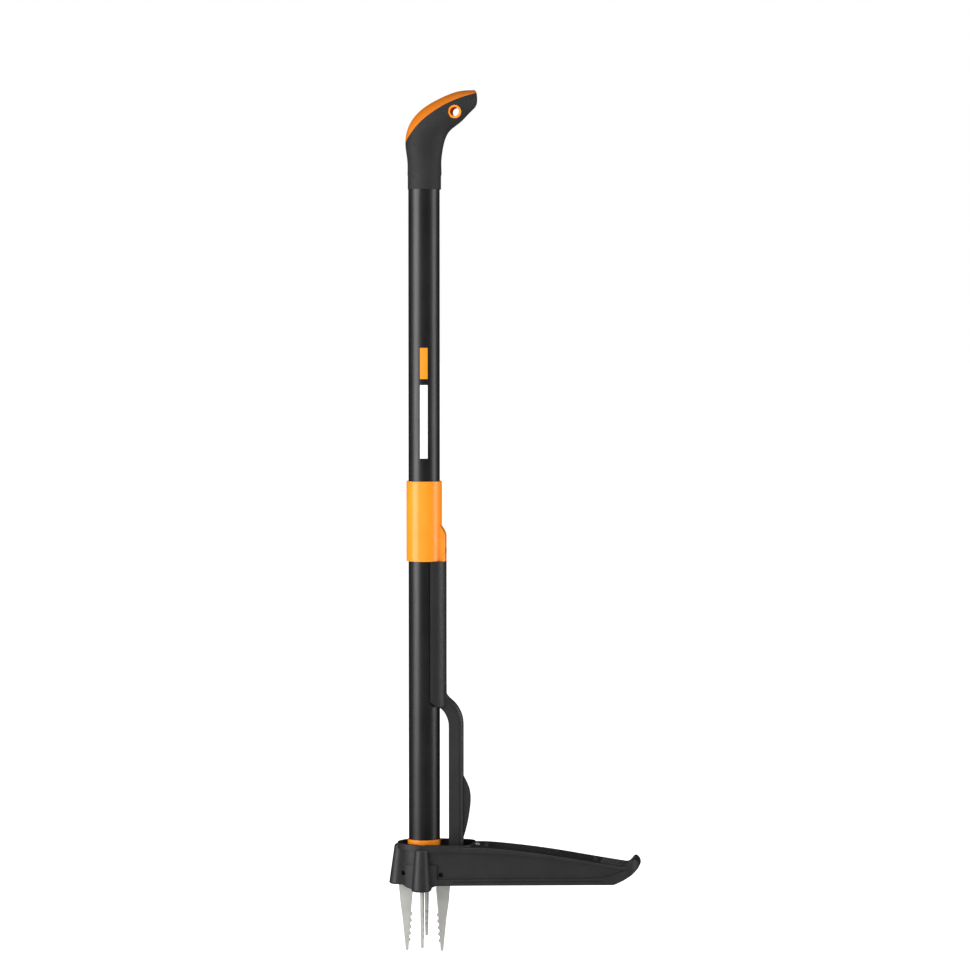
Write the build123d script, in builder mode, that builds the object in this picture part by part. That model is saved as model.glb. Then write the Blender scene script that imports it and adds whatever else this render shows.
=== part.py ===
from build123d import *
import os
from math import cos, radians, sin, tan

# Stand up weeder, in millimetres. The origin is on the shaft's axis at the underside of the pedal's
# head, which is the soil line in use. +Z runs up the shaft and +X points along the pedal to its tip.

# Shaft and handle
TUBE_R = 18.2
TUBE_WALL = 1.4
TUBE_BORE_R = TUBE_R - TUBE_WALL
TUBE_BOTTOM = 46.0
TUBE_TOP = 846.0
SOCKET_BOTTOM = 807.3
CORE_BOTTOM = 770.0
CORE_R = 10.0
HANDLE_SCREW_Z = 826.0
HANDLE_SCREW_R = 2.0
EYELET_X = 37.3
EYELET_Z = 896.3
EYELET_BORE_R = 5.2
EYELET_R = 7.7
EYELET_HALF = 15.4

# Grip sections from the socket to the nose: x, z, lean in degrees, half depth, half width
GRIP_LOFT_Z = 822.0
GRIP_SECTIONS = [
    (0.5, GRIP_LOFT_Z, 0, 19.3, 19.4),
    (0.6, 834.0, 0, 19.6, 19.2),
    (0.3, 846.0, 2, 20.4, 19.0),
    (2.6, 870.0, 10, 22.8, 18.7),
    (8.5, 881.5, 20, 22.3, 18.3),
    (26.8, 896.3, 40.6, 19.3, 16.8),
    (36.8, 902.4, 51, 16.9, 15.6),
    (46.8, 907.8, 62, 14.0, 13.6),
    (61.2, 914.4, 88, 7.7, 8.4),
]
GRIP_END_ROUND = 3.2

# Parting line between the grip and its cap, seen from the side
CAP_PARTING = [(-24, 856.5), (-12.1, 873.7), (-1.7, 885.2), (12.9, 896.6), (29.5, 906.3), (52.4, 915.2),
               (70, 920)]

# Pivot between the shaft's foot and the pedal
PIVOT_Z = 36.0
PIVOT_PIN_R = 4.0
PIVOT_PIN_HALF = 29.4
RUNNING_GAP = 0.05
FREE_GAP = 0.3
FOOT_BOTTOM = 30.5
FOOT_FACE_R = 16.0
COLLAR_R = 19.5
COLLAR_Z = (45.0, 51.4)

# Foot pedal casting
RIM_Z = 47.6
RIM_R = 31.5
RIM_BAND = 6.6
CORE_WALL_R = 28.5
BOWL_R = 26.0
BOWL_END_X = 56.0
BOWL_END_HALF = 24.4
BOWL_CORNER = 12.5
RIM_END_X = 58.4
RIM_END_HALF = 28.7
RIM_CORNER = 15.0
RAIL_Z = 44.4
RAIL_EDGE = 120.0
RAIL_MIDDLE = 25.0
RAIL_ROUND = 1.8
BOWL_FLOOR = 29.0
PEDAL_TIP_X = 252.5
PEDAL_RISE_ANGLE = 1.1
PEDAL_RISE = tan(radians(PEDAL_RISE_ANGLE))
BRIDGE_X = 64.0
TROUGH_X = (69.0, 204.0)
TROUGH_HALF = 17.0
TROUGH_FLOOR = 8.0
PANEL_DEPTH = 2.2
GROOVE_DEPTH = 1.0
GROOVE_MID = (124.0, 4.4)
GROOVE_LENGTH = 176.0
GROOVE_HEIGHT = 1.1
WELL_R = 17.0
SKIRT_R = 24.6
SKIRT_Z = 6.2
TREAD_X = (207.0, 247.0)
TREAD_WIDTH = 42.0
TREAD_LOW = 14.0
TREAD_THICK = 1.8
PEDAL_SCREW_X = 61.9
LOBE_INNER = 10.0
LOBE_FOOT = (30.2, 11.5)
LOBE_HEAD = (27.2, 7.8)
LOBE_TOP = 43.0
LOBE_BOTTOM = -6.2
LEFT_LOBE_TOP = 45.6
LEFT_LOBE_BOTTOM = -1.6
WEB_R = 30.3
WEB_TOP = 24.0
WEB_X = 19.5
CHUTE_X = (22.0, 55.2)
CHUTE_HALF = 7.5
SEAT_LEG_R = 21.0
SEAT_LEG = 5.0
SEAT_SCREW_PCR = 18.0
SEAT_SCREW_R = 1.4
SEAT_SCREW_LENGTH = 8.0
PEDAL_SCREW_R = 2.0
KEEPER_Y = (26.3, 29.4)
SCREW_SEAT_Z = 44.4
SEAT_HUB_R = 10.0
SEAT_SCREW_HEAD_R = 2.3
SEAT_SCREW_HEAD = 1.2
PIN_HALVES = {0: 22.0, 90: 8.6, 180: 8.6, 270: 8.6}
PIN_SINKS = {0: 12.0, 90: 0.6, 180: 12.0, 270: 0.6}

# Claws: pin circle, blade and tips
CLAW_PIN_R = 22.6
CLAW_PIN_Z = 13.0
CLAW_PIN_RADIUS = 2.0
CLAW_THICK = 3.0
CLAW_SLOT = 4.4
CLAW_SLOT_END = 31.6
TOOTH_R = 2.3
TOOTH_PITCH = 7.6
TOOTH_RISE = 1.8
TOOTH_TOP = -37.7
CLAWS = {"claw_right": (0, -80.5), "claw_back": (90, -66.0),
         "claw_left": (180, -80.5), "claw_front": (270, -74.0)}

# Spreader and its return spring
SPREADER_TOP = 30.2
SPREADER_RIM_R = 15.4
SPREADER_BASE = 19.0
CONE_SLOPE = 0.34
NOSE_R = 13.0
NOSE_Z = 23.0
STEM_R = 3.0
STEM_BOTTOM = 8.2
SEAT_Z = (6.5, 9.0)
SPRING_R = 6.2
SPRING_WIRE_R = 0.6
SPRING_TURNS = 4.5

# Ejector: sleeve on the shaft, rod beside it and plate between the claws
SLEEVE_Z = (376.2, 469.4)
SLEEVE_R = 20.6
SLEEVE_BORE_R = 19.4
LINER_BORE_R = TUBE_R + FREE_GAP
HUMP_X = 25.4
HUMP_HALF = 9.5
HUMP_TOP = 418.0
TONGUE_X = (18.0, 22.4)
TONGUE_HALF = 6.0
TONGUE_TOP = 410.0
ROD_SCREW_R = 2.0
ROD_SCREW_HEAD_R = 4.2
ROD_SCREW_Z = 389.3
SADDLE_X = (9.2, 26.1)
SADDLE_BOTTOM = 207.0
LEG_X = (29.4, 46.0)
LEG_HALF = 6.8
LEG_BOTTOM = 16.0
LEG_ROUND = 5.6
LEG_SLOT_HALF = 2.7
LEG_SLOT_TOP = 108.0
LEG_SPINE_X = 41.6
FIN_X = 54.2
FIN_HALF = 2.6
PLATE_Z = (2.0, 5.0)
PLATE_R = 23.2
PLATE_TAIL_TOP = 8.5
PLATE_SLOT = 4.0
PLATE_HUB_R = 5.6
PLATE_SLOT_END = 33.0
TAIL_X = 46.0
TAIL_HALF = 6.9
PAD_X = 34.0

UP = (Align.CENTER, Align.CENTER, Align.MIN)
ALONG_X = (0, 90, 0)
ALONG_Y = (90, 0, 0)


def cone_radius(z):
    """Radius of the spreader's cone at this height."""
    return NOSE_R - FREE_GAP + (z - NOSE_Z) * CONE_SLOPE


def radial_plane(angle):
    """Upright plane through the shaft's axis whose local x runs outwards at this angle."""
    turn = radians(angle)
    return Plane(origin=(0, 0, 0), x_dir=(cos(turn), sin(turn), 0), z_dir=(sin(turn), -cos(turn), 0))


def lifted(*points):
    """Side-view points raised with the pedal's slight slope up towards its tip."""
    return [(x, z + PEDAL_RISE * x) for x, z in points]


def side_outline():
    """Side view of the pedal: flat underside, upturned nose and the rails' falling top."""
    Spline(*lifted((234, 21.3), (241, 24.2), (245.5, 29.0), (249.8, 27.4), (PEDAL_TIP_X, 21.5),
                   (247, 13.8), (235.5, 5.6)), tangents=[(1, -0.141), (-1, -0.619)])
    Spline(*lifted((235.5, 5.6), (229.5, 2.6), (222, 0)), tangents=[(-1, -0.619), (-1, -0.119)])
    Polyline(*lifted((222, 0), (0, 0), (0, RAIL_Z), (BRIDGE_X, RAIL_Z)))
    Spline(*lifted((BRIDGE_X, RAIL_Z), (85, 43.2), (120, 39.4), (155, 34.5), (192, 28.2), (234, 21.3)),
           tangents=[(1, PEDAL_RISE), (1, -0.141)])


def plan_outline(inset=0.0):
    """Plan of the pedal: widest at the bowl, then a long taper to the rounded tip."""
    with BuildSketch() as plan:
        with BuildLine():
            Polyline((0, 31), (60, 28.5), (PEDAL_TIP_X, 25.5), (PEDAL_TIP_X, -25.5), (60, -28.5),
                     (0, -31), close=True)
        make_face()
        fillet(plan.vertices().group_by(Axis.X)[-1], radius=17)
        if inset:
            offset(amount=-inset)
    return plan.sketch


def bowl_outline(radius, end_x, end_half, corner):
    """Plan of the bowl: round about the shaft, narrowing to a square end with round corners."""
    with BuildSketch() as plan:
        with BuildLine():
            Polyline((0, radius), (end_x, end_half), (end_x, -end_half), (0, -radius), close=True)
        make_face()
        fillet(plan.vertices().group_by(Axis.X)[-1], radius=corner)
        Circle(radius)
    return plan.sketch


os.makedirs("parts", exist_ok=True)

# ---------------------------------------------------------------- shaft and its foot

with BuildPart() as shaft_tube:
    with BuildSketch(Plane.XY.offset(TUBE_BOTTOM)):
        Circle(TUBE_R)
        Circle(TUBE_BORE_R, mode=Mode.SUBTRACT)
    extrude(amount=TUBE_TOP - TUBE_BOTTOM)
    with Locations((0, TUBE_R, HANDLE_SCREW_Z)):
        Cylinder(HANDLE_SCREW_R + RUNNING_GAP, 8, rotation=ALONG_Y, mode=Mode.SUBTRACT)
shaft_tube.part.label = "shaft_tube"
export_step(shaft_tube.part, "parts/shaft_tube.step")

# Plug in the tube's end; its flat face below the pivot presses on the spreader as the shaft leans
with BuildPart() as shaft_foot:
    with BuildSketch(Plane.XZ):
        with BuildLine():
            Polyline((0, FOOT_BOTTOM), (FOOT_FACE_R, FOOT_BOTTOM), (TUBE_R, FOOT_BOTTOM + 4),
                     (TUBE_R, TUBE_BOTTOM), (TUBE_BORE_R, TUBE_BOTTOM), (TUBE_BORE_R, TUBE_BOTTOM + 32),
                     (0, TUBE_BOTTOM + 32), close=True)
        make_face()
    revolve(axis=Axis.Z)
    with Locations((0, 0, PIVOT_Z)):
        Cylinder(PIVOT_PIN_R, 3 * TUBE_R, rotation=ALONG_Y, mode=Mode.SUBTRACT)
shaft_foot.part.label = "shaft_foot"
export_step(shaft_foot.part, "parts/shaft_foot.step")

# Cross pin pressed through the foot, turning in the bowl's two grooves
with BuildPart() as foot_pin:
    with Locations((0, 0, PIVOT_Z)):
        Cylinder(PIVOT_PIN_R, 2 * PIVOT_PIN_HALF, rotation=ALONG_Y)
    chamfer(foot_pin.edges().filter_by(GeomType.CIRCLE), length=0.5)
foot_pin.part.label = "foot_pin"
export_step(foot_pin.part, "parts/foot_pin.step")

with BuildPart() as foot_collar:
    with BuildSketch(Plane.XY.offset(COLLAR_Z[0])):
        Circle(COLLAR_R)
        Circle(TUBE_R, mode=Mode.SUBTRACT)
    extrude(amount=COLLAR_Z[1] - COLLAR_Z[0])
    fillet(foot_collar.faces().sort_by(Axis.Z)[-1].outer_wire().edges(), radius=0.7)
foot_collar.part.label = "foot_collar"
export_step(foot_collar.part, "parts/foot_collar.step")

# ---------------------------------------------------------------- handle

# Whole grip as one lofted body, later divided into the soft grip and the hard cap
with BuildPart() as grip_blank:
    for x, z, lean, depth, width in GRIP_SECTIONS:
        turn = radians(lean)
        with BuildSketch(Plane(origin=(x, 0, z), x_dir=(cos(turn), 0, -sin(turn)),
                               z_dir=(sin(turn), 0, cos(turn)))):
            Ellipse(depth, width)
    loft()
    fillet(grip_blank.faces().sort_by(Axis.X)[-1].edges(), radius=GRIP_END_ROUND)
    with BuildSketch(Plane.XY.offset(SOCKET_BOTTOM)):
        with Locations(GRIP_SECTIONS[0][:1] + (0,)):
            Ellipse(*GRIP_SECTIONS[0][3:])
    extrude(amount=GRIP_LOFT_Z - SOCKET_BOTTOM)

# Region above the parting line between grip and cap, right across the handle
with BuildPart() as cap_region:
    with BuildSketch(Plane.XZ):
        with BuildLine():
            Spline(*CAP_PARTING)
            Polyline(CAP_PARTING[-1], (70, 950), (-40, 950), CAP_PARTING[0])
        make_face()
    extrude(amount=40, both=True)

# Stiff core that fills the tube's top and reaches up into the grip
with BuildPart() as handle_core:
    with BuildSketch(Plane.XY.offset(CORE_BOTTOM)):
        Circle(TUBE_BORE_R)
        Circle(HANDLE_SCREW_R * 4, mode=Mode.SUBTRACT)
    extrude(amount=SOCKET_BOTTOM - CORE_BOTTOM)
    with BuildSketch(Plane.XY.offset(SOCKET_BOTTOM)):
        Circle(TUBE_BORE_R)
    extrude(amount=TUBE_TOP - SOCKET_BOTTOM)
    with BuildSketch(Plane.XY.offset(TUBE_TOP)):
        Circle(CORE_R)
    extrude(amount=22)
    with Locations((0, TUBE_R, HANDLE_SCREW_Z)):
        Cylinder(HANDLE_SCREW_R, 30, rotation=ALONG_Y, mode=Mode.SUBTRACT)
handle_core.part.label = "handle_core"
export_step(handle_core.part, "parts/handle_core.step")

with BuildPart() as hang_eyelet:
    with Locations((EYELET_X, 0, EYELET_Z)):
        Cylinder(EYELET_R, 2 * EYELET_HALF, rotation=ALONG_Y)
        Cylinder(EYELET_BORE_R, 3 * EYELET_HALF, rotation=ALONG_Y, mode=Mode.SUBTRACT)
    fillet(hang_eyelet.edges().filter_by(GeomType.CIRCLE), radius=0.8)
hang_eyelet.part.label = "hang_eyelet"
export_step(hang_eyelet.part, "parts/hang_eyelet.step")

with BuildPart() as handle_grip:
    add(grip_blank.part)
    add(cap_region.part, mode=Mode.SUBTRACT)
    with BuildSketch(Plane.XY.offset(SOCKET_BOTTOM - 1)):
        Circle(TUBE_R)
    extrude(amount=TUBE_TOP - SOCKET_BOTTOM + 1, mode=Mode.SUBTRACT)
    with BuildSketch(Plane.XY.offset(TUBE_TOP)):
        Circle(CORE_R)
    extrude(amount=22, mode=Mode.SUBTRACT)
    with Locations((EYELET_X, 0, EYELET_Z)):
        Cylinder(EYELET_R, 4 * EYELET_HALF, rotation=ALONG_Y, mode=Mode.SUBTRACT)
    with Locations((0, TUBE_R, HANDLE_SCREW_Z)):
        Cylinder(HANDLE_SCREW_R * 2, 12, rotation=ALONG_Y, mode=Mode.SUBTRACT)
handle_grip.part.label = "handle_grip"
export_step(handle_grip.part, "parts/handle_grip.step")

with BuildPart() as handle_cap:
    add(grip_blank.part)
    add(cap_region.part, mode=Mode.INTERSECT)
    with Locations((EYELET_X, 0, EYELET_Z)):
        Cylinder(EYELET_R, 4 * EYELET_HALF, rotation=ALONG_Y, mode=Mode.SUBTRACT)
handle_cap.part.label = "handle_cap"
export_step(handle_cap.part, "parts/handle_cap.step")

# Screw in the back of the socket, through the tube into the core
with BuildPart() as handle_screw:
    with Locations((0, TUBE_R + 0.7, HANDLE_SCREW_Z)):
        Cylinder(HANDLE_SCREW_R * 2, 1.2, rotation=ALONG_Y)
    with Locations((0, TUBE_R - 6.5, HANDLE_SCREW_Z)):
        Cylinder(HANDLE_SCREW_R, 14, rotation=ALONG_Y)
handle_screw.part.label = "handle_screw"
export_step(handle_screw.part, "parts/handle_screw.step")

# ---------------------------------------------------------------- foot pedal casting

# Side view crossed with the plan gives the pedal's bare body
with BuildPart() as pedal_blank:
    with BuildSketch(Plane.XZ):
        with BuildLine():
            side_outline()
        make_face()
    extrude(amount=40, both=True)
    with BuildSketch(Plane.XY.offset(-1)):
        add(plan_outline())
    extrude(amount=RIM_Z + 2, mode=Mode.INTERSECT)
    fillet(pedal_blank.edges().filter_by(lambda e: e.length > RAIL_EDGE and e.center().Z > RAIL_MIDDLE),
           radius=RAIL_ROUND)

# The pedal's plan drawn in by the panels' depth, which leaves the face of the side panels
with BuildPart() as panel_core:
    with BuildSketch(Plane.XY.offset(-1)):
        add(plan_outline(PANEL_DEPTH))
    extrude(amount=RIM_Z + 2)

# Side panels, sunk between the top rail and the bottom rail
with BuildPart() as panel_cutter:
    with BuildSketch(Plane.XZ):
        with BuildLine():
            Line(*lifted((-1, 7.3), (196, 7.6)))
            Spline(*lifted((196, 7.6), (222, 11.2), (237, 17.2)), tangents=[(1, PEDAL_RISE), (1, 0.519)])
            Spline(*lifted((237, 17.2), (205, 22.4), (161, 29.3), (124, 34.0), (87, 36.8), (50, 38.4),
                           (20, 38.8), (-1, 38.8)))
            Line(*lifted((-1, 38.8), (-1, 7.3)))
        make_face()
    extrude(amount=40, both=True)
    add(panel_core.part, mode=Mode.SUBTRACT)

# Fine groove along the bottom rail
with BuildPart() as groove_cutter:
    with Locations((GROOVE_MID[0], 0, GROOVE_MID[1] + PEDAL_RISE * GROOVE_MID[0])):
        Box(GROOVE_LENGTH, 80, GROOVE_HEIGHT, rotation=(0, -PEDAL_RISE_ANGLE, 0))
    with BuildSketch(Plane.XY):
        add(plan_outline(GROOVE_DEPTH))
    extrude(amount=RIM_Z, mode=Mode.SUBTRACT)

# Soft tread let into the pedal's last stretch and the inside of its upturned nose
with BuildPart() as tread_pad:
    add(pedal_blank.part)
    with Locations((TREAD_THICK / 3, 0, -TREAD_THICK)):
        add(pedal_blank.part, mode=Mode.SUBTRACT)
    with BuildSketch(Plane.XY.offset(TREAD_LOW)):
        with Locations(((TREAD_X[0] + TREAD_X[1]) / 2, 0)):
            RectangleRounded(TREAD_X[1] - TREAD_X[0], TREAD_WIDTH, 6)
    extrude(amount=RIM_Z, mode=Mode.INTERSECT)
tread_pad.part.label = "tread_pad"
export_step(tread_pad.part, "parts/tread_pad.step")


# Apron under the head: its edge sweeps down to the front and back lobes
with BuildPart() as head_apron:
    with BuildSketch(Plane.XZ):
        with BuildLine():
            Spline((-32, 1.0), (-20.7, -1.7), (-11, -4.4), (0, LOBE_BOTTOM + 0.4), (11, -2.4), (18, 0.4))
            Line((18, 0.4), (18, WEB_TOP))
            Line((18, WEB_TOP), (-32, WEB_TOP))
            Line((-32, WEB_TOP), (-32, 1.0))
        make_face()
    extrude(amount=40, both=True)
    with BuildSketch(Plane.XY.offset(LOBE_BOTTOM - 1)):
        Circle(CORE_WALL_R)
        with BuildSketch(Plane.XY, mode=Mode.PRIVATE) as web:
            Circle(WEB_R)
            with Locations((-WEB_X / 2, 0)):
                Rectangle(WEB_X, 2 * WEB_R, mode=Mode.INTERSECT)
        add(web.sketch)
        add(plan_outline())
    extrude(amount=WEB_TOP - LOBE_BOTTOM + 2, mode=Mode.INTERSECT)


def make_lobe(top, bottom):
    """Half-round lobe on the head's left side that houses one claw, tapering towards its top."""
    with BuildPart() as lobe:
        with BuildSketch(Plane.XY.offset(bottom)):
            with Locations((-(LOBE_INNER + LOBE_FOOT[0]) / 2, 0)):
                SlotCenterToCenter(LOBE_FOOT[0] - LOBE_INNER, 2 * LOBE_FOOT[1])
        with BuildSketch(Plane.XY.offset(top)):
            with Locations((-(LOBE_INNER + LOBE_HEAD[0]) / 2, 0)):
                SlotCenterToCenter(LOBE_HEAD[0] - LOBE_INNER, 2 * LOBE_HEAD[1])
        loft()
        fillet(lobe.faces().sort_by(Axis.Z)[-1].edges(), radius=3.5)
        fillet(lobe.faces().sort_by(Axis.Z)[0].edges(), radius=2.0)
    return lobe.part


with BuildPart() as foot_pedal:
    add(pedal_blank.part)
    add(panel_cutter.part, mode=Mode.SUBTRACT)
    add(groove_cutter.part, mode=Mode.SUBTRACT)
    add(tread_pad.part, mode=Mode.SUBTRACT)
    # trough between the rails, with two stiffening ribs across its floor
    with BuildSketch(Plane.XY.offset(TROUGH_FLOOR)):
        with Locations((sum(TROUGH_X) / 2, 0)):
            RectangleRounded(TROUGH_X[1] - TROUGH_X[0], 2 * TROUGH_HALF, 9)
    extrude(amount=RIM_Z, mode=Mode.SUBTRACT)
    with Locations((112, 0, TROUGH_FLOOR), (158, 0, TROUGH_FLOOR)):
        Box(3, 2 * TROUGH_HALF, 9, align=UP)
    # head: core wall, rim band and the four claw housings
    Cylinder(CORE_WALL_R, RIM_Z, align=UP)
    with BuildSketch(Plane.XY.offset(RIM_Z - RIM_BAND)):
        add(bowl_outline(RIM_R, RIM_END_X, RIM_END_HALF, RIM_CORNER))
    extrude(amount=RIM_BAND)
    add(head_apron.part)
    add(make_lobe(LEFT_LOBE_TOP, LEFT_LOBE_BOTTOM))
    add(make_lobe(LOBE_TOP, LOBE_BOTTOM), rotation=(0, 0, 90))
    add(make_lobe(LOBE_TOP, LOBE_BOTTOM), rotation=(0, 0, -90))
    # bowl that the shaft's foot and the ejector's rod stand in
    with BuildSketch(Plane.XY.offset(BOWL_FLOOR)):
        add(bowl_outline(BOWL_R, BOWL_END_X, BOWL_END_HALF, BOWL_CORNER))
    extrude(amount=RIM_Z, mode=Mode.SUBTRACT)
    # well for the spreader, and the wider skirt below it for the ejector plate
    Cylinder(WELL_R, RIM_Z, align=UP, mode=Mode.SUBTRACT)
    with Locations((0, 0, LOBE_BOTTOM - 1)):
        Cylinder(SKIRT_R, SKIRT_Z - LOBE_BOTTOM + 1, align=UP, mode=Mode.SUBTRACT)
    # claw slots and the rod's chute
    with Locations((0, 0, LOBE_BOTTOM - 1)):
        Box(2 * CLAW_SLOT_END, CLAW_SLOT, BOWL_FLOOR - LOBE_BOTTOM + 2, align=UP, mode=Mode.SUBTRACT)
        Box(CLAW_SLOT, 2 * CLAW_SLOT_END, BOWL_FLOOR - LOBE_BOTTOM + 2, align=UP, mode=Mode.SUBTRACT)
    with Locations(((CHUTE_X[0] + CHUTE_X[1]) / 2, 0, -1)):
        Box(CHUTE_X[1] - CHUTE_X[0], 2 * CHUTE_HALF, BOWL_FLOOR + 2, align=UP, mode=Mode.SUBTRACT)
    # pockets and screw holes for the spring seat's four legs
    with Locations((0, 0, SKIRT_Z - 0.1)):
        for turn in (45, -45):
            Box(2 * SEAT_LEG_R + 0.4, SEAT_LEG + 0.4, SEAT_Z[1] - SKIRT_Z + 0.3, rotation=(0, 0, turn),
                align=UP, mode=Mode.SUBTRACT)
    with Locations(Plane.XY.offset(SEAT_Z[1])):
        with PolarLocations(SEAT_SCREW_PCR, 4, start_angle=45):
            Cylinder(SEAT_SCREW_R, SEAT_SCREW_LENGTH, align=UP, mode=Mode.SUBTRACT)
    # grooves for the foot's cross pin, open at the top for assembly
    with Locations((0, 0, PIVOT_Z)):
        Cylinder(PIVOT_PIN_R + RUNNING_GAP, 2 * PIVOT_PIN_HALF + 0.6, rotation=ALONG_Y, mode=Mode.SUBTRACT)
        Box(2 * (PIVOT_PIN_R + RUNNING_GAP), 2 * PIVOT_PIN_HALF + 0.6, RIM_Z, align=UP, mode=Mode.SUBTRACT)
    # bores for the claw pins, sunk where the pins' ends show
    for angle, half in PIN_HALVES.items():
        with Locations(Plane(origin=radial_plane(angle).from_local_coords((CLAW_PIN_R, CLAW_PIN_Z, 0)),
                             z_dir=radial_plane(angle).z_dir)):
            Cylinder(CLAW_PIN_RADIUS, 2 * half, mode=Mode.SUBTRACT)
            sink = PIN_SINKS[angle]
            with Locations((0, 0, half + sink / 2), (0, 0, -half - sink / 2)):
                Cylinder(CLAW_PIN_RADIUS + 0.8, sink, mode=Mode.SUBTRACT)
    # screw hole in the bridge behind the bowl
    with Locations((PEDAL_SCREW_X, 0, SCREW_SEAT_Z)):
        Cylinder(PEDAL_SCREW_R, 28, mode=Mode.SUBTRACT)
        Cylinder(PEDAL_SCREW_R * 2, 10, align=UP, mode=Mode.SUBTRACT)
foot_pedal.part.label = "foot_pedal"
export_step(foot_pedal.part, "parts/foot_pedal.step")

# ---------------------------------------------------------------- small pieces held by the casting

# Blocks that close the grooves above the cross pin
with BuildPart() as pivot_keepers:
    with Locations((0, (KEEPER_Y[0] + KEEPER_Y[1]) / 2, 0), (0, -(KEEPER_Y[0] + KEEPER_Y[1]) / 2, 0)):
        with Locations((0, 0, PIVOT_Z)):
            Box(2 * PIVOT_PIN_R, KEEPER_Y[1] - KEEPER_Y[0], RIM_Z - 0.8 - PIVOT_Z, align=UP)
    with Locations((0, 0, PIVOT_Z)):
        Cylinder(PIVOT_PIN_R + FREE_GAP, 80, rotation=ALONG_Y, mode=Mode.SUBTRACT)
pivot_keepers.part.label = "pivot_keepers"
export_step(pivot_keepers.part, "parts/pivot_keepers.step")

with BuildPart() as claw_pins:
    for angle, half in PIN_HALVES.items():
        with Locations(Plane(origin=radial_plane(angle).from_local_coords((CLAW_PIN_R, CLAW_PIN_Z, 0)),
                             z_dir=radial_plane(angle).z_dir)):
            Cylinder(CLAW_PIN_RADIUS, 2 * half)
claw_pins.part.label = "claw_pins"
export_step(claw_pins.part, "parts/claw_pins.step")

# Button-head screw in the bridge between the bowl and the trough
with BuildPart() as pedal_screw:
    with Locations((PEDAL_SCREW_X, 0, SCREW_SEAT_Z)):
        Cylinder(3.3, 3.0, align=UP)
    fillet(pedal_screw.edges().sort_by(Axis.Z)[-1], radius=1.8)
    with Locations((PEDAL_SCREW_X, 0, SCREW_SEAT_Z + 1.4)):
        Cylinder(1.2, 3, align=UP, mode=Mode.SUBTRACT)
    with Locations((PEDAL_SCREW_X, 0, SCREW_SEAT_Z)):
        Cylinder(PEDAL_SCREW_R, 14, align=(Align.CENTER, Align.CENTER, Align.MAX))
pedal_screw.part.label = "pedal_screw"
export_step(pedal_screw.part, "parts/pedal_screw.step")

# Four-legged seat under the spreader's spring
with BuildPart() as spring_seat:
    with Locations((0, 0, SEAT_Z[0])):
        Cylinder(SEAT_HUB_R, SEAT_Z[1] - SEAT_Z[0], align=UP)
        for turn in (45, -45):
            Box(2 * SEAT_LEG_R, SEAT_LEG, SEAT_Z[1] - SEAT_Z[0], rotation=(0, 0, turn), align=UP)
        Cylinder(STEM_R + FREE_GAP, 10, align=UP, mode=Mode.SUBTRACT)
    with Locations(Plane.XY.offset(SEAT_Z[0])):
        with PolarLocations(SEAT_SCREW_PCR, 4, start_angle=45):
            Cylinder(SEAT_SCREW_R, 10, mode=Mode.SUBTRACT)
            Cone(SEAT_SCREW_HEAD_R, SEAT_SCREW_R, SEAT_SCREW_HEAD, align=UP, mode=Mode.SUBTRACT)
spring_seat.part.label = "spring_seat"
export_step(spring_seat.part, "parts/spring_seat.step")

with BuildPart() as seat_screws:
    with Locations(Plane.XY.offset(SEAT_Z[0])):
        with PolarLocations(SEAT_SCREW_PCR, 4, start_angle=45):
            Cone(SEAT_SCREW_HEAD_R, SEAT_SCREW_R, SEAT_SCREW_HEAD, align=UP)
            Cylinder(SEAT_SCREW_R, SEAT_SCREW_LENGTH, align=UP)
seat_screws.part.label = "seat_screws"
export_step(seat_screws.part, "parts/seat_screws.step")

# ---------------------------------------------------------------- claws, spreader and spring

# Flat steel claws on radial pins: a nose above the pin, a toothed taper below it
for name, (angle, tip_z) in CLAWS.items():
    with BuildPart() as claw:
        with BuildSketch(radial_plane(angle)):
            with BuildLine():
                Polyline((NOSE_R, NOSE_Z - 1.2), (NOSE_R, NOSE_Z + 1.2), (17, 27), (26, 27), (29.6, 20),
                         (29.9, -6), (28.2, -25), (26.1, -39), (21.9, tip_z + 1), (19.2, tip_z + 1),
                         (15.9, -33), (13.8, -9), (14.2, 12), close=True)
            make_face()
            teeth = int((TOOTH_TOP - tip_z - 9) / TOOTH_PITCH) + 1
            for i in range(teeth):
                z = TOOTH_TOP - i * TOOTH_PITCH
                share = (-33 - z) / (-34 - tip_z)
                with Locations((15.9 + 3.3 * share + TOOTH_R - TOOTH_RISE, z)):
                    Circle(TOOTH_R)
            with Locations((20.55, tip_z + 1.35)):
                Circle(1.35)
            with Locations((CLAW_PIN_R, CLAW_PIN_Z)):
                Circle(CLAW_PIN_RADIUS + RUNNING_GAP, mode=Mode.SUBTRACT)
        extrude(amount=CLAW_THICK / 2, both=True)
        fillet(claw.edges().filter_by(lambda e: e.length < CLAW_THICK + 0.1)
               .filter_by(lambda e: e.center().Z > NOSE_Z), radius=1.0)
    claw.part.label = name
    export_step(claw.part, f"parts/{name}.step")

# Cone that the shaft's foot drives down between the claws' noses
with BuildPart() as claw_spreader:
    with BuildSketch(Plane.XZ):
        with BuildLine():
            Polyline((0, STEM_BOTTOM), (STEM_R, STEM_BOTTOM), (STEM_R, SPREADER_BASE),
                     (cone_radius(SPREADER_BASE), SPREADER_BASE),
                     (cone_radius(SPREADER_TOP - 1.6), SPREADER_TOP - 1.6),
                     (SPREADER_RIM_R, SPREADER_TOP - 1.6), (SPREADER_RIM_R, SPREADER_TOP),
                     (0, SPREADER_TOP), close=True)
        make_face()
    revolve(axis=Axis.Z)
claw_spreader.part.label = "claw_spreader"
export_step(claw_spreader.part, "parts/claw_spreader.step")

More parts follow.
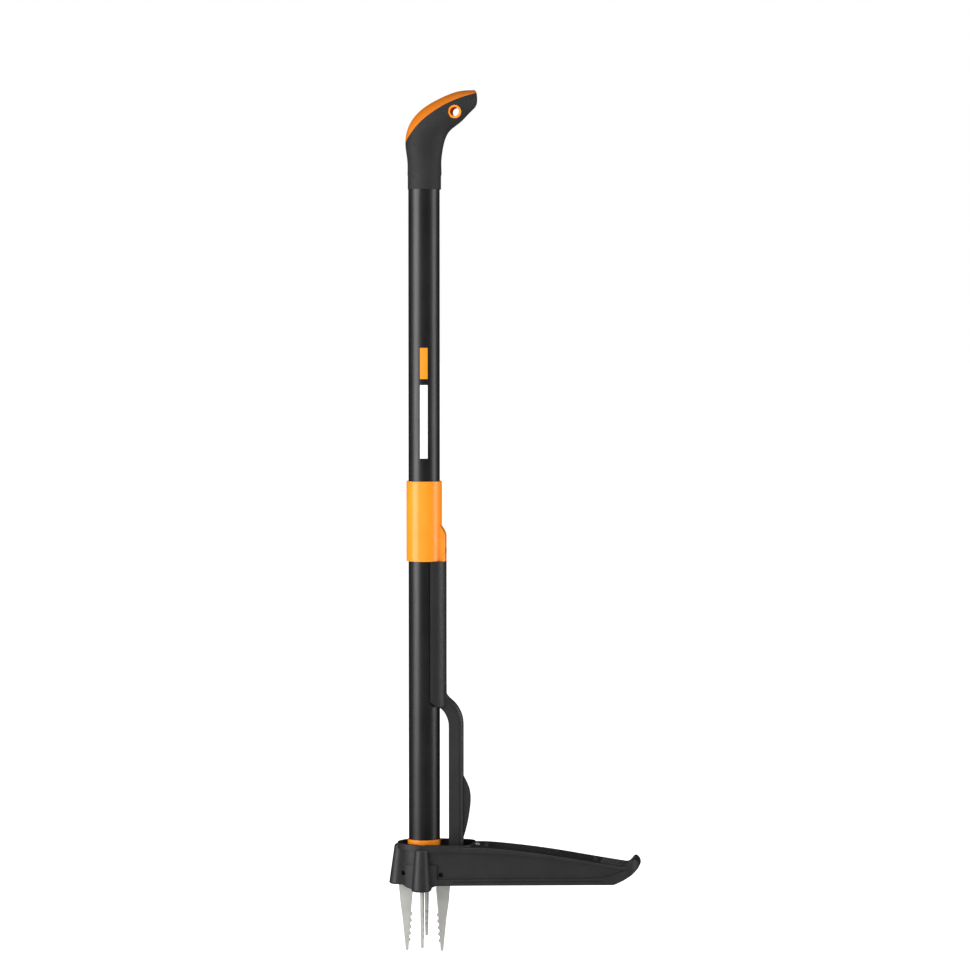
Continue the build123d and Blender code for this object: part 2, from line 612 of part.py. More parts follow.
with BuildPart() as return_spring:
    height = SPREADER_BASE - SEAT_Z[1] - 2 * SPRING_WIRE_R - 0.1
    with BuildLine():
        coil = Helix(pitch=height / SPRING_TURNS, height=height, radius=SPRING_R,
                     center=(0, 0, SEAT_Z[1] + SPRING_WIRE_R + 0.05))
    with BuildSketch(coil ^ 0):
        Circle(SPRING_WIRE_R)
    sweep(is_frenet=True)
return_spring.part.label = "return_spring"
export_step(return_spring.part, "parts/return_spring.step")

# ---------------------------------------------------------------- ejector

# Hump on the sleeve over the rod's fixing: rounded in plan, sloping in at its top
with BuildPart() as sleeve_hump:
    with BuildSketch(Plane.XZ):
        with BuildLine():
            Line((10, SLEEVE_Z[0]), (HUMP_X, SLEEVE_Z[0]))
            Line((HUMP_X, SLEEVE_Z[0]), (HUMP_X, HUMP_TOP - 14))
            Spline((HUMP_X, HUMP_TOP - 14), (SLEEVE_R - 1, HUMP_TOP), tangents=[(0, 1), (-0.4, 1)])
            Line((SLEEVE_R - 1, HUMP_TOP), (10, HUMP_TOP))
            Line((10, HUMP_TOP), (10, SLEEVE_Z[0]))
        make_face()
    extrude(amount=HUMP_HALF, both=True)
    with BuildSketch(Plane.XY.offset(SLEEVE_Z[0] - 1)):
        RectangleRounded(2 * HUMP_X, 2 * HUMP_HALF, 3)
    extrude(amount=HUMP_TOP - SLEEVE_Z[0] + 2, mode=Mode.INTERSECT)

# Orange hand sleeve
with BuildPart() as ejector_sleeve:
    with BuildSketch(Plane.XY.offset(SLEEVE_Z[0])):
        Circle(SLEEVE_R)
    extrude(amount=SLEEVE_Z[1] - SLEEVE_Z[0])
    fillet(ejector_sleeve.edges(), radius=0.8)
    add(sleeve_hump.part)
    with BuildSketch(Plane.XY.offset(SLEEVE_Z[0] - 1)):
        Circle(SLEEVE_BORE_R)
    extrude(amount=SLEEVE_Z[1] - SLEEVE_Z[0] + 2, mode=Mode.SUBTRACT)
    with Locations((TONGUE_X[0], 0, SLEEVE_Z[0] - 1)):
        Box(TONGUE_X[1] - TONGUE_X[0], 2 * TONGUE_HALF, TONGUE_TOP - SLEEVE_Z[0] + 1,
            align=(Align.MIN, Align.CENTER, Align.MIN), mode=Mode.SUBTRACT)
    with Locations((HUMP_X, 0, ROD_SCREW_Z)):
        Cylinder(ROD_SCREW_HEAD_R + 0.5, 3.0, rotation=ALONG_X, mode=Mode.SUBTRACT)
        Cylinder(ROD_SCREW_R, 12, rotation=ALONG_X, mode=Mode.SUBTRACT)
ejector_sleeve.part.label = "ejector_sleeve"
export_step(ejector_sleeve.part, "parts/ejector_sleeve.step")

# Slippery bushing inside the sleeve, notched for the rod's tongue
with BuildPart() as sleeve_liner:
    with BuildSketch(Plane.XY.offset(SLEEVE_Z[0] + 2)):
        Circle(SLEEVE_BORE_R)
        Circle(LINER_BORE_R, mode=Mode.SUBTRACT)
    extrude(amount=SLEEVE_Z[1] - SLEEVE_Z[0] - 4)
    with Locations((TONGUE_X[0], 0, SLEEVE_Z[0] - 1)):
        Box(10, 2 * TONGUE_HALF, TONGUE_TOP - SLEEVE_Z[0] + 1,
            align=(Align.CENTER, Align.CENTER, Align.MIN), mode=Mode.SUBTRACT)
sleeve_liner.part.label = "sleeve_liner"
export_step(sleeve_liner.part, "parts/sleeve_liner.step")

# Rod: saddle hugging the tube, cranked out to a grooved leg with a stop fin
with BuildPart() as ejector_rod:
    with BuildSketch(Plane.XZ):
        with BuildLine():
            Line((SADDLE_X[1] - 0.6, SADDLE_BOTTOM + 25), (SADDLE_X[1] - 0.6, SADDLE_BOTTOM + 17))
            Spline((SADDLE_X[1] - 0.6, SADDLE_BOTTOM + 17), (35.2, 212.3), (43.1, 200.4), (LEG_X[1], 184),
                   tangents=[(0.25, -1), (0, -1)])
            Line((LEG_X[1], 184), (LEG_X[1], LEG_BOTTOM))
            Line((LEG_X[1], LEG_BOTTOM), (LEG_X[0], LEG_BOTTOM))
            Line((LEG_X[0], LEG_BOTTOM), (LEG_X[0], 184))
            Spline((LEG_X[0], 184), (26.0, 197.2), (18.6, 205.4), tangents=[(0, 1), (-0.9, 0.5)])
            Line((18.6, 205.4), (18.6, SADDLE_BOTTOM + 25))
            Line((18.6, SADDLE_BOTTOM + 25), (SADDLE_X[1] - 0.6, SADDLE_BOTTOM + 25))
        make_face()
    extrude(amount=LEG_HALF, both=True)
    leg_edges = ejector_rod.edges().filter_by(Axis.Z).filter_by(lambda e: e.length > 100).group_by(Axis.X)
    fillet(leg_edges[-1], radius=LEG_ROUND)
    # saddle: a half-round strip with a slanting lower end
    with BuildSketch(Plane.XY.offset(SADDLE_BOTTOM)):
        with Locations((SADDLE_X[0], 0)):
            Circle(SADDLE_X[1] - SADDLE_X[0])
        with Locations((0, 0)):
            Rectangle(2 * SADDLE_X[0], 60, mode=Mode.SUBTRACT)
    extrude(amount=SLEEVE_Z[0] - 0.1 - SADDLE_BOTTOM)
    with Locations(Plane(origin=(18.6, 0, 205.4), z_dir=(0.63, 0, 0.77))):
        Box(26, 60, 20, align=(Align.MAX, Align.CENTER, Align.MAX), mode=Mode.SUBTRACT)
    # tongue that reaches up into the sleeve's hump
    with Locations((TONGUE_X[0], 0, SLEEVE_Z[0] - 4)):
        Box(TONGUE_X[1] - TONGUE_X[0], 2 * TONGUE_HALF, TONGUE_TOP - SLEEVE_Z[0] + 3.7,
            align=(Align.MIN, Align.CENTER, Align.MIN))
    with BuildSketch(Plane.XY.offset(LEG_BOTTOM - 1)):
        Circle(LINER_BORE_R)
    extrude(amount=TONGUE_TOP, mode=Mode.SUBTRACT)
    # stop fin on the leg's outer side
    with BuildSketch(Plane.XZ):
        with BuildLine():
            Spline((44, 129), (49.2, 119.5), (53.4, 107.9), (FIN_X, 97.4), (53.0, 84.6), (49.5, 65.9),
                   (44, 48))
            Line((44, 48), (44, 129))
        make_face()
    extrude(amount=FIN_HALF, both=True)
    # groove that lets the leg straddle the claw beside it
    with Locations((LEG_X[0] - 1, 0, LEG_BOTTOM - 1)):
        Box(LEG_SPINE_X - LEG_X[0] + 1, 2 * LEG_SLOT_HALF, LEG_SLOT_TOP - LEG_BOTTOM + 1,
            align=(Align.MIN, Align.CENTER, Align.MIN), mode=Mode.SUBTRACT)
    with Locations((TONGUE_X[1], 0, ROD_SCREW_Z)):
        Cylinder(ROD_SCREW_R, 20, rotation=ALONG_X, mode=Mode.SUBTRACT)
ejector_rod.part.label = "ejector_rod"
export_step(ejector_rod.part, "parts/ejector_rod.step")

with BuildPart() as rod_screw:
    with Locations((HUMP_X - 1.5, 0, ROD_SCREW_Z)):
        Cylinder(ROD_SCREW_HEAD_R, 1.2, rotation=ALONG_X,
                 align=(Align.CENTER, Align.CENTER, Align.MIN))
        Cylinder(ROD_SCREW_R, 4.4, rotation=ALONG_X, align=(Align.CENTER, Align.CENTER, Align.MAX))
    with Locations((HUMP_X, 0, ROD_SCREW_Z)):
        Box(1.4, 5, 1.2, mode=Mode.SUBTRACT)
        Box(1.4, 1.2, 5, mode=Mode.SUBTRACT)
rod_screw.part.label = "rod_screw"
export_step(rod_screw.part, "parts/rod_screw.step")

# Four petals that run down between the claws, with a tail under the rod
with BuildPart() as ejector_plate:
    with Locations((0, 0, PLATE_Z[0])):
        Cylinder(PLATE_R, PLATE_Z[1] - PLATE_Z[0], align=UP)
        Box(TAIL_X, 2 * TAIL_HALF, PLATE_Z[1] - PLATE_Z[0], align=(Align.MIN, Align.CENTER, Align.MIN))
    with Locations((PAD_X, 0, PLATE_Z[0])):
        Box(TAIL_X - PAD_X, 2 * TAIL_HALF, PLATE_TAIL_TOP - PLATE_Z[0],
            align=(Align.MIN, Align.CENTER, Align.MIN))
    with Locations(Plane.XY):
        with PolarLocations(PLATE_HUB_R, 4):
            Box(PLATE_SLOT_END - PLATE_HUB_R, PLATE_SLOT, 20,
                align=(Align.MIN, Align.CENTER, Align.CENTER), mode=Mode.SUBTRACT)
ejector_plate.part.label = "ejector_plate"
export_step(ejector_plate.part, "parts/ejector_plate.step")
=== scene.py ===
"""Stand up weeder: finishes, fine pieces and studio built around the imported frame."""
import logging
import math
from dataclasses import dataclass
from enum import Enum

import bmesh
import bpy
from mathutils import Matrix, Vector
from mathutils.bvhtree import BVHTree


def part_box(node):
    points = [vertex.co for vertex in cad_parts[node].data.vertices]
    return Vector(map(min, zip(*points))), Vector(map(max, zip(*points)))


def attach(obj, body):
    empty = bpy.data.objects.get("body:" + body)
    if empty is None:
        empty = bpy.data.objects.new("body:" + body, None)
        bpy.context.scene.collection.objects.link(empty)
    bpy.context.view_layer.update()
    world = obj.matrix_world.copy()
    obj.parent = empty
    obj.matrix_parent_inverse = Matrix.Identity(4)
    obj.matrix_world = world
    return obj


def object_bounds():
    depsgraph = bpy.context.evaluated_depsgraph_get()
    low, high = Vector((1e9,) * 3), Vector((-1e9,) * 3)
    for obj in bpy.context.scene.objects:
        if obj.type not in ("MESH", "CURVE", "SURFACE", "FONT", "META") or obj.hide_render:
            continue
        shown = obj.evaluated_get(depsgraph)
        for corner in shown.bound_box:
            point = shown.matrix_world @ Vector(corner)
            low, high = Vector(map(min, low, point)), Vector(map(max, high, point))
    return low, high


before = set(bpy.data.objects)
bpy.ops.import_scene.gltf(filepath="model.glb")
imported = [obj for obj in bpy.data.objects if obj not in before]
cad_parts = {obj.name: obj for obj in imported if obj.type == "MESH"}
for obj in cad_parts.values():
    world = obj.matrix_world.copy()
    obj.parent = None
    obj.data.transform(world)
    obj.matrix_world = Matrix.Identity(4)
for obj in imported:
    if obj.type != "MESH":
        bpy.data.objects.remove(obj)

CAD_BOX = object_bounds()
LOG = logging.getLogger("weeder")
MM = 0.001
WELD = 0.001 * MM
EVEN = (1.0, 1.0, 1.0)


# ---------------------------------------------------------------- finishes

def grey(level: float) -> tuple[float, float, float]:
    """A neutral linear colour of this level."""
    return (level, level, level)


class NodeSheet:
    """A material's node tree with short ways to lay the nodes that the finishes share."""

    def __init__(self, name: str) -> None:
        """Start an empty node material.

        Args:
            name: The material's name.
        """
        self.material = bpy.data.materials.new(name)
        self.material.use_nodes = True
        self.nodes = self.material.node_tree.nodes
        self.links = self.material.node_tree.links
        self.shader = self.nodes["Principled BSDF"]
        self.coords = self.nodes.new("ShaderNodeTexCoord").outputs["Object"]

    def stretched(self, scale: tuple[float, float, float]) -> bpy.types.NodeSocket:
        """Object coordinates scaled apart along the axes, for brushed or drawn patterns.

        Args:
            scale: Factor along each axis.

        Returns:
            The scaled coordinates.
        """
        node = self.nodes.new("ShaderNodeMapping")
        node.inputs["Scale"].default_value = scale
        self.links.new(self.coords, node.inputs["Vector"])
        return node.outputs["Vector"]

    def noise(self, size: float, detail: float = 3.0, vector: bpy.types.NodeSocket | None = None,
              roughness: float = 0.55) -> bpy.types.NodeSocket:
        """Noise whose blotches are about this large.

        Args:
            size: Blotch size in metres.
            detail: Octaves of finer noise.
            vector: Coordinates to read, the object's own if None.
            roughness: Strength of the finer octaves.

        Returns:
            The noise factor.
        """
        node = self.nodes.new("ShaderNodeTexNoise")
        node.inputs["Scale"].default_value = 1.0 / size
        node.inputs["Detail"].default_value = detail
        node.inputs["Roughness"].default_value = roughness
        self.links.new(vector or self.coords, node.inputs["Vector"])
        return node.outputs["Fac"]

    def cells(self, size: float) -> bpy.types.NodeSocket:
        """Distance inside cells of about this size, for pebbled grain.

        Args:
            size: Cell size in metres.

        Returns:
            The distance.
        """
        node = self.nodes.new("ShaderNodeTexVoronoi")
        node.inputs["Scale"].default_value = 1.0 / size
        self.links.new(self.coords, node.inputs["Vector"])
        return node.outputs["Distance"]

    def spread(self, source: bpy.types.NodeSocket, low: float, high: float,
               start: float = 0.3, end: float = 0.7) -> bpy.types.NodeSocket:
        """Map a factor onto a range of values.

        Args:
            source: Factor to map.
            low: Value at the start.
            high: Value at the end.
            start: Factor that gives low.
            end: Factor that gives high.

        Returns:
            The mapped value.
        """
        node = self.nodes.new("ShaderNodeMapRange")
        node.inputs["From Min"].default_value = start
        node.inputs["From Max"].default_value = end
        node.inputs["To Min"].default_value = low
        node.inputs["To Max"].default_value = high
        self.links.new(source, node.inputs["Value"])
        return node.outputs["Result"]

    def shades(self, source: bpy.types.NodeSocket, low: tuple[float, float, float],
               high: tuple[float, float, float], start: float = 0.35,
               end: float = 0.65) -> bpy.types.NodeSocket:
        """Blend two colours by a factor.

        Args:
            source: Factor to read.
            low: Linear colour at the start.
            high: Linear colour at the end.
            start: Factor that gives the low colour.
            end: Factor that gives the high colour.

        Returns:
            The blended colour.
        """
        node = self.nodes.new("ShaderNodeValToRGB")
        first, last = node.color_ramp.elements
        first.position, last.position = start, end
        first.color, last.color = (*low, 1.0), (*high, 1.0)
        self.links.new(source, node.inputs["Fac"])
        return node.outputs["Color"]

    def relief(self, height: bpy.types.NodeSocket, depth: float, strength: float = 1.0,
               after: bpy.types.NodeSocket | None = None) -> bpy.types.NodeSocket:
        """Bump from a height factor.

        Args:
            height: Height factor.
            depth: Depth in metres of a full step.
            strength: Share of the bump that is used.
            after: Normal of a coarser bump to stand on.

        Returns:
            The bumped normal.
        """
        node = self.nodes.new("ShaderNodeBump")
        node.inputs["Distance"].default_value = depth
        node.inputs["Strength"].default_value = strength
        self.links.new(height, node.inputs["Height"])
        if after:
            self.links.new(after, node.inputs["Normal"])
        return node.outputs["Normal"]

    def feed(self, **sockets: bpy.types.NodeSocket | float | tuple) -> None:
        """Connect or set the shader's inputs.

        Args:
            sockets: Input names with underscores for spaces, and what goes into each.
        """
        for name, value in sockets.items():
            target = self.shader.inputs[name.replace("_", " ")]
            if isinstance(value, bpy.types.NodeSocket):
                self.links.new(value, target)
            else:
                target.default_value = value


@dataclass(frozen=True)
class PowderCoat:
    """Satin powder coat with orange peel, as on the tube."""

    name: str = "black_powder_coat"
    low: tuple[float, float, float] = (0.0055, 0.0057, 0.006)
    high: tuple[float, float, float] = (0.009, 0.0092, 0.0095)
    gloss: tuple[float, float] = (0.36, 0.44)
    drift_size: float = 45 * MM
    peel_size: float = 1.1 * MM
    peel_depth: float = 0.006 * MM
    scuff_size: float = 2.4 * MM
    scuff_draw: tuple[float, float, float] = (1.0, 1.0, 0.06)

    def material(self) -> bpy.types.Material:
        """Build the coat's material."""
        sheet = NodeSheet(self.name)
        drift = sheet.noise(self.drift_size, 4)
        peel = sheet.noise(self.peel_size, 2)
        scuff = sheet.noise(self.scuff_size, 6, sheet.stretched(self.scuff_draw), 0.7)
        sheet.feed(Base_Color=sheet.shades(drift, self.low, self.high),
                   Roughness=sheet.spread(scuff, *self.gloss),
                   Normal=sheet.relief(peel, self.peel_depth))
        return sheet.material


@dataclass(frozen=True)
class Moulding:
    """Injection-moulded plastic or rubber with a fine eroded grain."""

    name: str
    low: tuple[float, float, float]
    high: tuple[float, float, float]
    gloss: tuple[float, float]
    grain_size: float = 0.6 * MM
    grain_depth: float = 0.02 * MM
    flow_size: float = 28 * MM
    rub_size: float = 6 * MM
    coat: float = 0.0
    coat_gloss: float = 0.12
    shine: float = 0.3

    def material(self) -> bpy.types.Material:
        """Build the plastic's material."""
        sheet = NodeSheet(self.name)
        flow = sheet.noise(self.flow_size, 5, roughness=0.6)
        grain = sheet.noise(self.grain_size, roughness=0.7)
        rub = sheet.noise(self.rub_size, 6, roughness=0.75)
        sheet.feed(Base_Color=sheet.shades(flow, self.low, self.high, 0.3, 0.7),
                   Roughness=sheet.spread(rub, *self.gloss),
                   Normal=sheet.relief(grain, self.grain_depth),
                   Coat_Weight=self.coat, Coat_Roughness=self.coat_gloss, Specular_IOR_Level=self.shine)
        return sheet.material


@dataclass(frozen=True)
class SheetSteel:
    """Steel with a directional finish along one axis."""

    name: str
    low: tuple[float, float, float]
    high: tuple[float, float, float]
    gloss: tuple[float, float] = (0.28, 0.42)
    brush: tuple[float, float, float] = (1.0, 1.0, 0.05)
    line_size: float = 0.5 * MM
    line_depth: float = 0.012 * MM
    cloud_size: float = 14 * MM
    metal: float = 1.0

    def material(self) -> bpy.types.Material:
        """Build the steel's material."""
        sheet = NodeSheet(self.name)
        lines = sheet.noise(self.line_size, 4, sheet.stretched(self.brush), 0.7)
        cloud = sheet.noise(self.cloud_size, 4)
        sheet.feed(Base_Color=sheet.shades(cloud, self.low, self.high, 0.3, 0.7),
                   Roughness=sheet.spread(lines, *self.gloss),
                   Normal=sheet.relief(lines, self.line_depth),
                   Metallic=self.metal)
        return sheet.material


@dataclass(frozen=True)
class PebbledTread:
    """Soft tread with a pebbled skin and dust in the hollows."""

    name: str = "pebbled_tread"
    low: tuple[float, float, float] = grey(0.025)
    high: tuple[float, float, float] = grey(0.06)
    pebble_size: float = 1.6 * MM
    pebble_depth: float = 0.25 * MM
    skin_size: float = 0.5 * MM
    skin_depth: float = 0.03 * MM

    def material(self) -> bpy.types.Material:
        """Build the tread's material."""
        sheet = NodeSheet(self.name)
        pebble = sheet.cells(self.pebble_size)
        fine = sheet.noise(self.skin_size)
        normal = sheet.relief(pebble, self.pebble_depth, 0.9)
        sheet.feed(Base_Color=sheet.shades(pebble, self.high, self.low, 0.1, 0.7),
                   Roughness=sheet.spread(fine, 0.55, 0.8),
                   Normal=sheet.relief(fine, self.skin_depth, 0.8, normal))
        return sheet.material


class Tone(Enum):
    """The finishes that the weeder's pieces take, with the record's slot for each."""

    COAT = ("black_coat", PowderCoat())
    NYLON = ("black_nylon", Moulding("moulded_nylon", grey(0.014), grey(0.019), (0.42, 0.55), shine=0.42))
    GRIP = ("soft_grip", Moulding("grip_rubber", grey(0.014), grey(0.019), (0.6, 0.75),
                                  grain_size=0.35 * MM, grain_depth=0.03 * MM))
    ORANGE = ("orange_plastic", Moulding("moulded_orange", (0.74, 0.205, 0.003), (0.80, 0.235, 0.005),
                                         (0.3, 0.42), grain_size=0.8 * MM, grain_depth=0.006 * MM,
                                         coat=0.15))
    # The handle cap's orange plastic, darker than the sleeve's: painted shade so the cap reads as less lit
    # from above.
    CAP = ("orange_plastic", Moulding("moulded_orange_painted_shade", (0.48, 0.122, 0.002), (0.54, 0.14, 0.003),
                                      (0.42, 0.52), grain_size=0.8 * MM, grain_depth=0.006 * MM))
    CLAW = ("claw_steel", SheetSteel("brushed_claw", (0.40, 0.395, 0.375), (0.48, 0.475, 0.45), metal=0.3))
    ZINC = ("bright_steel", SheetSteel("bright_zinc", grey(0.30), (0.40, 0.40, 0.39), (0.3, 0.42),
                                       brush=EVEN, metal=0.7))
    # Dark steel in place of the pins' bright steel: painted shade so the pin holes read deep. The rod screw
    # takes the same dark steel.
    OXIDE = ("bright_steel", SheetSteel("dark_steel_painted_shade", grey(0.02), grey(0.03), (0.4, 0.5),
                                        brush=EVEN, metal=0.5))
    WIRE = ("spring_steel", SheetSteel("spring_wire", (0.35, 0.35, 0.36), (0.45, 0.45, 0.46), (0.3, 0.4)))
    TREAD = ("tread_rubber", PebbledTread())
    PRINT_WHITE = ("black_coat", Moulding("print_white", grey(0.72), grey(0.8), (0.4, 0.5),
                                          grain_size=0.5 * MM, grain_depth=0.004 * MM))

    @property
    def slot(self) -> str:
        """The record's material slot."""
        return self.value[0]

    def material(self) -> bpy.types.Material:
        """The finish's material, built once."""
        finish = self.value[1]
        return bpy.data.materials.get(finish.name) or finish.material()


# ---------------------------------------------------------------- mesh helpers

def dress(node: str, tone: Tone) -> None:
    """Give a CAD node its procedural material.

    Args:
        node: The node's name.
        tone: The finish to assign.
    """
    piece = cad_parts[node]
    piece.data.materials.clear()
    piece.data.materials.append(tone.material())
    LOG.info("dressed %s in %s", node, tone.name)


def add_piece(name: str, mesh: bmesh.types.BMesh, tone: Tone, body: str) -> None:
    """Turn a bmesh into a flat-shaded piece of the weeder.

    Args:
        name: The piece's name.
        mesh: Its finished shape, in the frame's metres; it is freed here.
        tone: Its finish.
        body: The CAD body that it rides on.
    """
    bmesh.ops.remove_doubles(mesh, verts=mesh.verts, dist=WELD)
    bmesh.ops.recalc_face_normals(mesh, faces=mesh.faces)
    data = bpy.data.meshes.new(name)
    mesh.to_mesh(data)
    mesh.free()
    piece = bpy.data.objects.new(name, data)
    bpy.context.scene.collection.objects.link(piece)
    data.materials.append(tone.material())
    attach(piece, body)
    LOG.info("built %s with %d faces on %s", name, len(data.polygons), body)


# ---------------------------------------------------------------- sub-assemblies

@dataclass
class Shaft:
    """Tube, foot and collar, with the plain printed bars that stand for its markings."""

    bar_gain: float = 0.08 * MM
    bar_root: float = 0.3 * MM
    bar_half_angle: float = math.radians(14)
    bar_steps: int = 12
    facing: float = math.radians(-84)
    white_span: tuple[float, float] = (0.496, 0.581)
    orange_span: tuple[float, float] = (0.588, 0.624)

    def build(self) -> None:
        """Dress the shaft's nodes and print its bars."""
        dress("shaft_tube", Tone.COAT)
        dress("shaft_foot", Tone.NYLON)
        dress("foot_pin", Tone.ZINC)
        dress("foot_collar", Tone.ORANGE)
        self.print_bar("print_bar_white", self.white_span, Tone.PRINT_WHITE)
        self.print_bar("print_bar_orange", self.orange_span, Tone.ORANGE)

    def print_bar(self, name: str, span: tuple[float, float], tone: Tone) -> None:
        """Lay one printed bar on the tube as a thin curved skin.

        Args:
            name: The piece's name.
            span: Its lowest and highest point.
            tone: The ink.
        """
        low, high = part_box("shaft_tube")
        radius = (high[0] - low[0]) / 2
        mesh = bmesh.new()
        start = self.facing - self.bar_half_angle
        spoke = Vector((math.cos(start), math.sin(start), 0))
        corners = [spoke * (radius - self.bar_root), spoke * (radius + self.bar_gain)]
        bottom = [mesh.verts.new(c + Vector((0, 0, span[0]))) for c in corners]
        top = [mesh.verts.new(c + Vector((0, 0, span[1]))) for c in reversed(corners)]
        face = mesh.faces.new(bottom + top)
        bmesh.ops.spin(mesh, geom=[face, *face.edges, *face.verts], axis=(0, 0, 1), cent=(0, 0, 0),
                       angle=2 * self.bar_half_angle, steps=self.bar_steps)
        add_piece(name, mesh, tone, "shaft")


@dataclass
class Handle:
    """Grip, cap, eyelet and what joins them to the tube."""

    def build(self) -> None:
        """Dress the handle's nodes."""
        dress("handle_core", Tone.NYLON)
        dress("handle_grip", Tone.GRIP)
        # The cap takes the darker orange, which carries painted shade.
        dress("handle_cap", Tone.CAP)
        dress("hang_eyelet", Tone.ORANGE)
        dress("handle_screw", Tone.ZINC)


@dataclass
class Head:
    """Foot pedal casting, the small pieces that it holds and the studs on its tread."""

    stud_pitch: float = 3.2 * MM
    stud_radius: float = 0.95 * MM
    stud_taper: float = 0.72
    stud_height: float = 0.9 * MM
    stud_sides: int = 10
    stud_margin: float = 2.4 * MM

    def build(self) -> None:
        """Dress the head's nodes and stud its tread."""
        dress("foot_pedal", Tone.NYLON)
        dress("pivot_keepers", Tone.NYLON)
        # Claw pins in dark steel: painted shade for the depth of their holes.
        dress("claw_pins", Tone.OXIDE)
        dress("pedal_screw", Tone.ZINC)
        dress("spring_seat", Tone.ZINC)
        dress("seat_screws", Tone.ZINC)
        dress("tread_pad", Tone.TREAD)
        self.stud_tread()

    def stud_tread(self) -> None:
        """Stand rows of low round studs on the tread pad, each square to the pad's surface."""
        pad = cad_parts["tread_pad"].data
        skin = BVHTree.FromPolygons([v.co for v in pad.vertices], [p.vertices for p in pad.polygons])
        low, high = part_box("tread_pad")
        rows = int((high[0] - low[0] - 2 * self.stud_margin) / self.stud_pitch)
        columns = int((high[1] - low[1] - 2 * self.stud_margin) / self.stud_pitch)
        mesh = bmesh.new()
        for row in range(rows + 1):
            for column in range(columns + row % 2):
                spot = Vector((low[0] + self.stud_margin + row * self.stud_pitch,
                               (column + (1 - row % 2) / 2 - columns / 2) * self.stud_pitch, high[2] + MM))
                foot, normal, _, _ = skin.ray_cast(spot, Vector((0, 0, -1)))
                if foot is None:
                    continue
                turn = normal.to_track_quat("Z", "Y").to_matrix().to_4x4()
                seat = Matrix.Translation(foot + normal * 0.1 * self.stud_height)
                bmesh.ops.create_cone(mesh, cap_ends=True, segments=self.stud_sides, radius1=self.stud_radius,
                                      radius2=self.stud_taper * self.stud_radius, depth=self.stud_height,
                                      matrix=seat @ turn)
        add_piece("tread_studs", mesh, Tone.TREAD, "head")


@dataclass
class ClawSet:
    """Four claws with the spreader and spring that move them."""

    def build(self) -> None:
        """Dress the claws and the spreader."""
        for side in ("right", "back", "left", "front"):
            dress(f"claw_{side}", Tone.CLAW)
        dress("claw_spreader", Tone.NYLON)
        dress("return_spring", Tone.WIRE)


@dataclass
class Ejector:
    """Hand sleeve, rod and plate."""

    def build(self) -> None:
        """Dress the ejector's nodes."""
        dress("ejector_sleeve", Tone.ORANGE)
        dress("sleeve_liner", Tone.NYLON)
        dress("ejector_rod", Tone.NYLON)
        dress("rod_screw", Tone.OXIDE)
        dress("ejector_plate", Tone.NYLON)


# ---------------------------------------------------------------- studio

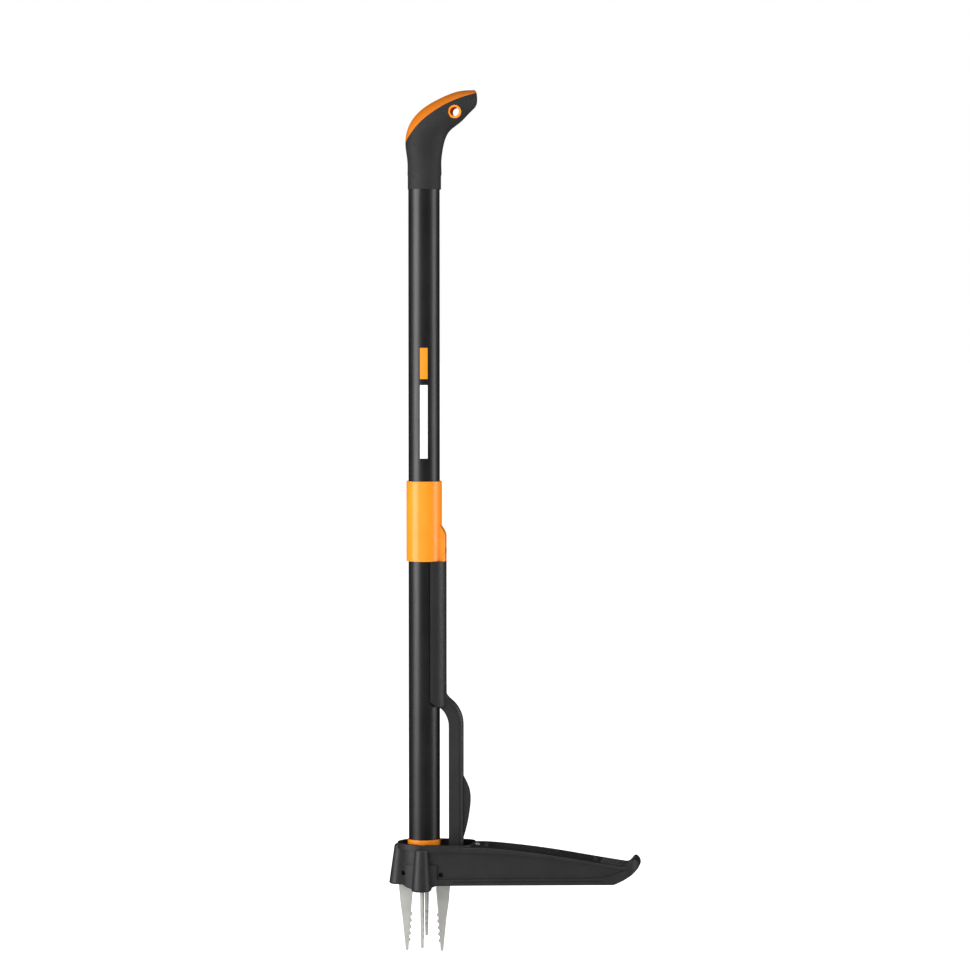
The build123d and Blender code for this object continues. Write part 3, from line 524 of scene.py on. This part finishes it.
@dataclass
class Studio:
    """Pale floor, soft lights and the camera."""

    floor_drop: float = 0.6 * MM
    floor_glow: float = 1.16
    floor_reach: float = 60.0
    floor_grain: float = 0.4
    floor_squares: int = 8
    light_aim: float = 0.45
    camera_distance: float = 4.194
    camera_yaw: float = math.radians(6.3)
    camera_height: float = 0.653
    aim_across: float = 0.0707
    aim_height: float = 0.4640
    lens: float = 134.0
    sensor: float = 36.0
    sight: float = 200.0
    world_fill: float = 0.13
    world_mirrored: float = 0.012
    world_seen: float = 1.0

    def build(self) -> None:
        """Lay the floor, light it and set the camera."""
        self.lay_floor()
        self.light()
        self.set_camera()

    def lay_floor(self) -> None:
        """Lay a large pale floor just under the claws' tips."""
        sheet = NodeSheet("floor_white")
        tone = sheet.shades(sheet.noise(self.floor_grain), grey(0.80), grey(0.82))
        sheet.feed(Base_Color=tone, Emission_Color=tone, Emission_Strength=self.floor_glow, Roughness=1.0,
                   Specular_IOR_Level=0.0)
        mesh = bmesh.new()
        bmesh.ops.create_grid(mesh, x_segments=self.floor_squares, y_segments=self.floor_squares,
                              size=self.floor_reach)
        bmesh.ops.translate(mesh, verts=mesh.verts, vec=(0, 0, CAD_BOX[0][2] - self.floor_drop))
        data = bpy.data.meshes.new("floor")
        mesh.to_mesh(data)
        mesh.free()
        floor = bpy.data.objects.new("floor", data)
        bpy.context.scene.collection.objects.link(floor)
        data.materials.append(sheet.material)
        floor.visible_glossy = False

    def softbox(self, name: str, azimuth: float, height: float, distance: float, size: tuple[float, float],
                watts: float, mirrored: bool = True) -> None:
        """Hang one softbox.

        Args:
            name: The light's name.
            azimuth: Degrees round from the camera's side, positive to the right.
            height: Height of its middle.
            distance: Distance from the shaft.
            size: Width and height.
            watts: Power.
            mirrored: Whether it shows in glossy surfaces.
        """
        data = bpy.data.lights.new(name, "AREA")
        data.shape = "RECTANGLE"
        data.size, data.size_y = size
        data.energy = watts
        lamp = bpy.data.objects.new(name, data)
        turn = self.camera_yaw + math.radians(azimuth)
        lamp.location = (distance * math.sin(turn), -distance * math.cos(turn), height)
        toward = Vector((0, 0, self.light_aim)) - lamp.location
        lamp.rotation_euler = toward.to_track_quat("-Z", "Y").to_euler()
        lamp.visible_glossy = mirrored
        bpy.context.scene.collection.objects.link(lamp)

    def light(self) -> None:
        """Set the two tall strips, the overhead, the front fill and the white surround."""
        self.softbox("strip_left", azimuth=-60, height=0.72, distance=2.2, size=(1.5, 1.7), watts=56)
        self.softbox("strip_right", azimuth=80, height=0.72, distance=2.2, size=(1.0, 1.7), watts=27)
        self.softbox("overhead", azimuth=0, height=2.8, distance=1.2, size=(2.4, 1.6), watts=21)
        self.softbox("front_fill", azimuth=-8, height=0.6, distance=2.6, size=(1.8, 1.8), watts=22,
                     mirrored=False)
        self.surround()

    def surround(self) -> None:
        """Set a dim surround that is darker in reflections and white to the eye."""
        world = bpy.data.worlds.new("surround")
        bpy.context.scene.world = world
        world.use_nodes = True
        nodes, links = world.node_tree.nodes, world.node_tree.links
        fill = nodes["Background"]
        fill.inputs["Color"].default_value = (*EVEN, 1.0)
        fill.inputs["Strength"].default_value = self.world_fill
        white = nodes.new("ShaderNodeBackground")
        white.inputs["Color"].default_value = (*EVEN, 1.0)
        white.inputs["Strength"].default_value = self.world_seen
        dim = nodes.new("ShaderNodeBackground")
        dim.inputs["Strength"].default_value = self.world_mirrored
        rays = nodes.new("ShaderNodeLightPath")
        around = fill.outputs["Background"]
        for ray, surround in (("Is Glossy Ray", dim), ("Is Camera Ray", white)):
            blend = nodes.new("ShaderNodeMixShader")
            links.new(rays.outputs[ray], blend.inputs["Fac"])
            links.new(around, blend.inputs[1])
            links.new(surround.outputs["Background"], blend.inputs[2])
            around = blend.outputs["Shader"]
        links.new(around, nodes["World Output"].inputs["Surface"])

    def set_camera(self) -> None:
        """Set the long-lens camera a little to the pedal's side."""
        data = bpy.data.cameras.new("camera")
        data.lens = self.lens
        data.sensor_fit = "HORIZONTAL"
        data.sensor_width = self.sensor
        data.clip_end = self.sight
        camera = bpy.data.objects.new("camera", data)
        yaw = self.camera_yaw
        across = Vector((math.cos(yaw), math.sin(yaw), 0))
        away = Vector((math.sin(yaw), -math.cos(yaw), 0))
        target = across * self.aim_across + Vector((0, 0, self.aim_height))
        camera.location = (across * self.aim_across + away * self.camera_distance
                           + Vector((0, 0, self.camera_height)))
        camera.rotation_euler = (target - camera.location).to_track_quat("-Z", "Y").to_euler()
        bpy.context.scene.collection.objects.link(camera)
        bpy.context.scene.camera = camera


def main() -> None:
    """Build the studio and each sub-assembly."""
    logging.basicConfig(level=logging.INFO, format="%(name)s: %(message)s")
    scene = bpy.context.scene
    scene.view_settings.view_transform = "Standard"
    for assembly in (Studio(), Shaft(), Handle(), Head(), ClawSet(), Ejector()):
        assembly.build()
        LOG.info("finished %s", type(assembly).__name__)


if __name__ == "__main__":
    main()
